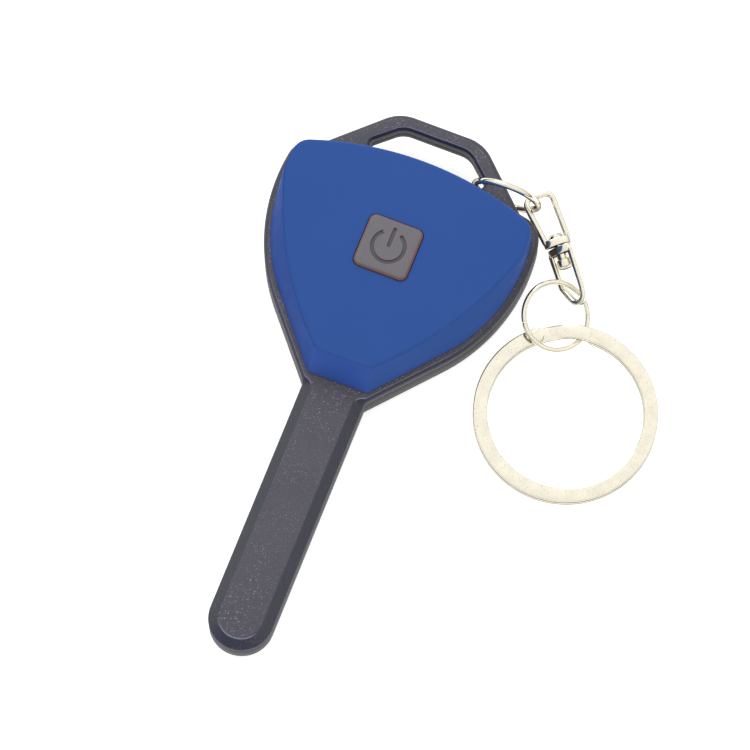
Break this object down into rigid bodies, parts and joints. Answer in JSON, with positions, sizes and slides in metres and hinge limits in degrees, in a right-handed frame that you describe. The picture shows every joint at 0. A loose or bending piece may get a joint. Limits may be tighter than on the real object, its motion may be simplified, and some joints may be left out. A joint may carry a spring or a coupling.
{
  "type": "keychain flashlight",
  "caption": "Key-shaped keychain flashlight with a push power button, a lanyard arch, a light strip in its blade and a swivel chain that carries a split key ring.",
  "frame": {"origin": "on the flat back face, straight under the centre of the power button", "axes": "+X to the right, +Y along the key towards the lanyard arch, +Z out of the front cover"},
  "size_m": [0.0606, 0.0779, 0.0112],
  "materials": {
    "case_plastic": "dark grey moulded plastic with a fine metallic speckle",
    "cover_plastic": "blue satin moulded plastic",
    "button_plastic": "mid grey satin plastic with a sunk standby mark",
    "black_plastic": "black plastic",
    "plunger_plastic": "red switch plunger",
    "contact_metal": "bright spring contact",
    "board": "green circuit board",
    "cell_steel": "bright steel button cell",
    "door_plastic": "dark grey moulded plastic",
    "screw_steel": "plated small screws",
    "light_board": "white metal-core board",
    "phosphor": "yellow phosphor gel",
    "lens": "frosted clear window",
    "wire_red": "red insulated wire",
    "nickel": "polished nickel-plated steel"
  },
  "bodies": {
    "case": {"front_case": "case_plastic", "back_case": "case_plastic", "front_cover": "cover_plastic", "switch_body": "black_plastic", "switch_terminals": "contact_metal", "main_pcb": "board", "driver_chip": "black_plastic", "chip_resistors": "black_plastic", "battery_frame": "black_plastic", "battery_cell_lower": "cell_steel", "battery_cell_upper": "cell_steel", "positive_contact": "contact_metal", "negative_contact": "contact_metal", "battery_door": "door_plastic", "door_screws": "screw_steel", "case_screws": "screw_steel", "cob_board": "light_board", "cob_phosphor": "phosphor", "cob_lens": "lens", "lead_wire_red": "wire_red", "lead_wire_black": "black_plastic"},
    "button": {"power_button": "button_plastic", "switch_plunger": "plunger_plastic"},
    "link_ring": {"link_ring": "nickel"},
    "swivel_upper": {"swivel_eye_upper": "nickel", "swivel_rivet": "nickel"},
    "swivel_lower": {"swivel_eye_lower": "nickel"},
    "jump_ring": {"jump_ring": "nickel"},
    "split_ring": {"split_ring": "nickel"}
  },
  "joints": [
    {"name": "button_press", "type": "slide", "parent": "case", "child": "button", "axis": [0, 0, -1], "range_m": [0, 0.0003], "stiffness_N_per_m": 1000},
    {"name": "link_ring_turn", "type": "hinge", "parent": "case", "child": "link_ring", "pos_m": [0.01157, 0.0145, 0.00508], "axis": [0.0262, -0.999, -0.0349], "range_deg": [-2, 22]},
    {"name": "swivel_swing", "type": "hinge", "parent": "link_ring", "child": "swivel_upper", "pos_m": [0.01598, 0.01465, 0.00396], "axis": [0.2481, -0.0273, 0.9683], "range_deg": [0, 100]},
    {"name": "swivel_spin", "type": "hinge", "parent": "swivel_upper", "child": "swivel_lower", "pos_m": [0.02063, 0.01086, 0.00325], "axis": [0.6449, -0.7551, -0.1184], "continuous": true},
    {"name": "jump_ring_turn", "type": "hinge", "parent": "swivel_lower", "child": "jump_ring", "pos_m": [0.02371, 0.00178, 0.00215], "axis": [0.3746, -0.0647, 0.9249], "range_deg": [-2, 15]},
    {"name": "split_ring_turn", "type": "hinge", "parent": "jump_ring", "child": "split_ring", "pos_m": [0.02371, 0.00178, 0.00215], "axis": [0.3746, -0.0647, 0.9249], "range_deg": [-5, 18]}
  ]
}
